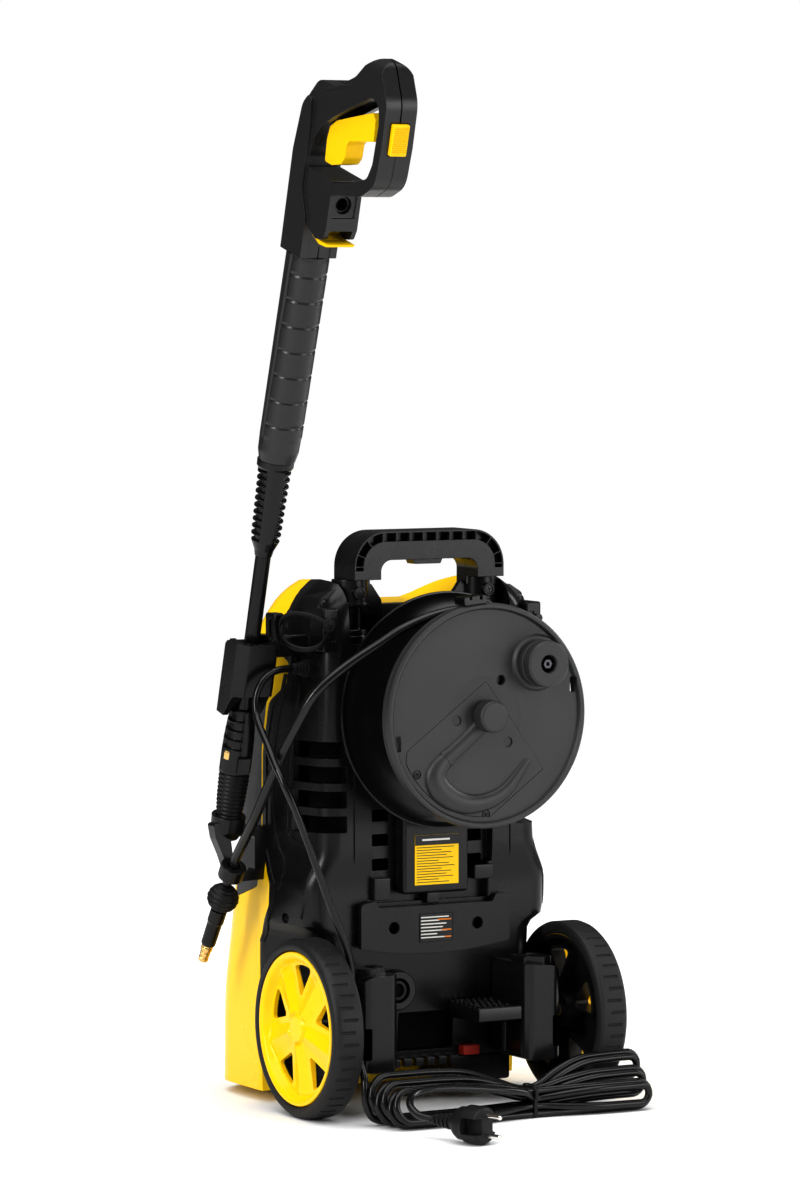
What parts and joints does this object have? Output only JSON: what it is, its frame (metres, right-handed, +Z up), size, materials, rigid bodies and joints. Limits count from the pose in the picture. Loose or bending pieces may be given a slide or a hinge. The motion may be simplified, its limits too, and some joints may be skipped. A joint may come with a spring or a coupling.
{
  "type": "pressure washer",
  "caption": "Upright electric pressure washer on two wheels with telescopic handle, rear hose reel, side tool holder, trigger gun with lance, and a hanked power cord.",
  "frame": {"origin": "centre of the bounding box of the machine without its power cord and free hose, on the floor", "axes": "+Z up, +Y towards the hose reel and wheels at the rear, +X towards the side with the tool holder"},
  "size_m": [0.3956, 0.4998, 1.0471],
  "materials": {
    "yellow_gloss": "gloss",
    "yellow_label": "satin",
    "caution_label": "satin",
    "black_satin": "satin",
    "black_gloss": "gloss",
    "dark_plastic": "satin",
    "tube_plastic": "gloss",
    "lance_coated": "satin",
    "rubber": "matte",
    "tyre": "matte",
    "steel": "satin",
    "motor_metal": "satin",
    "brass": "polished"
  },
  "bodies": {
    "machine": {"axle_left": "steel", "axle_right": "steel", "bracket_left": "black_satin", "bracket_right": "black_satin", "caution_plate": "caution_label", "cord_gland": "rubber", "foot_step": "black_satin", "front_cover": "yellow_gloss", "front_foot_left": "rubber", "front_foot_right": "rubber", "front_panel": "dark_plastic", "holder_cup": "black_satin", "holder_hook": "dark_plastic", "holder_strap": "rubber", "hose_coupling": "brass", "hose_grommet": "rubber", "hose_run": "rubber", "hose_sleeve": "rubber", "motor": "motor_metal", "motor_block": "dark_plastic", "power_cord_hank": "rubber", "power_cord_run": "rubber", "power_cord_tail": "rubber", "power_plug": "rubber", "pump": "motor_metal", "rating_plate": "yellow_label", "rear_housing": "black_satin", "reel_spindle": "dark_plastic", "side_insert_left": "dark_plastic", "side_insert_right": "dark_plastic", "skirt_plate": "black_satin", "sleeve_ring_left": "black_satin", "sleeve_ring_right": "black_satin", "water_inlet": "dark_plastic"},
    "left_wheel": {"wheel_left_rim": "yellow_gloss", "wheel_left_tyre": "tyre"},
    "right_wheel": {"wheel_right_rim": "yellow_gloss", "wheel_right_tyre": "tyre"},
    "handle": {"handle_front": "black_satin", "handle_rear": "black_satin", "handle_tube_left": "tube_plastic", "handle_tube_right": "tube_plastic"},
    "reel": {"reel_inner_flange": "black_gloss", "reel_drum": "black_satin", "wound_hose": "rubber", "reel_outer_flange": "black_gloss", "reel_pipe_cover": "black_gloss", "reel_hub_cap": "black_gloss", "hose_clip": "black_gloss"},
    "crank": {"crank_knob": "black_gloss"},
    "switch": {"power_switch": "yellow_gloss"},
    "gun": {"gun_body": "black_satin", "gun_grip": "black_satin", "lance_collar": "black_satin", "lance_tube": "lance_coated", "nozzle_body": "black_satin"},
    "trigger": {"gun_trigger": "yellow_gloss"},
    "trigger_lock": {"gun_lock": "yellow_gloss"},
    "hose_release": {"inlet_release": "yellow_gloss"},
    "nozzle": {"nozzle_ring": "black_satin"}
  },
  "joints": [
    {"name": "wheel_left_spin", "type": "hinge", "parent": "machine", "child": "left_wheel", "pos_m": [0.13275, -0.00592, 0.0905], "axis": [1, 0, 0], "continuous": true},
    {"name": "wheel_right_spin", "type": "hinge", "parent": "machine", "child": "right_wheel", "pos_m": [-0.17225, -0.00592, 0.0905], "axis": [1, 0, 0], "continuous": true},
    {"name": "handle_lift", "type": "slide", "parent": "machine", "child": "handle", "axis": [0, 0, 1], "range_m": [0, 0.2]},
    {"name": "reel_spin", "type": "hinge", "parent": "machine", "child": "reel", "pos_m": [-0.01975, 0.08908, 0.405], "axis": [0, 1, 0], "continuous": true},
    {"name": "crank_spin", "type": "hinge", "parent": "reel", "child": "crank", "pos_m": [-0.07835, 0.08938, 0.456], "axis": [0, 1, 0], "continuous": true},
    {"name": "switch_turn", "type": "hinge", "parent": "machine", "child": "switch", "pos_m": [-0.01975, -0.22342, 0.3], "axis": [0, 1, 0], "range_deg": [0, 90]},
    {"name": "gun_lift", "type": "slide", "parent": "machine", "child": "gun", "axis": [0, 0.2756, 0.9613], "range_m": [0, 0.21]},
    {"name": "trigger_pull", "type": "hinge", "parent": "gun", "child": "trigger", "pos_m": [0.16525, 0.20554, 0.99096], "axis": [-1, 0, 0], "range_deg": [0, 10], "stiffness_Nm_per_rad": 0.6, "springref_deg": -11.46},
    {"name": "lock_press", "type": "slide", "parent": "gun", "child": "trigger_lock", "axis": [0, -0.9613, 0.2756], "range_m": [0, 0.002], "stiffness_N_per_m": 500, "springref_m": -0.001},
    {"name": "release_pull", "type": "slide", "parent": "gun", "child": "hose_release", "axis": [0, 0.9613, -0.2756], "range_m": [0, 0.003], "stiffness_N_per_m": 500, "springref_m": -0.001},
    {"name": "nozzle_turn", "type": "hinge", "parent": "gun", "child": "nozzle", "pos_m": [0.16525, -0.11792, 0.291], "axis": [0, 0.2756, 0.9613], "range_deg": [-90, 90]}
  ]
}
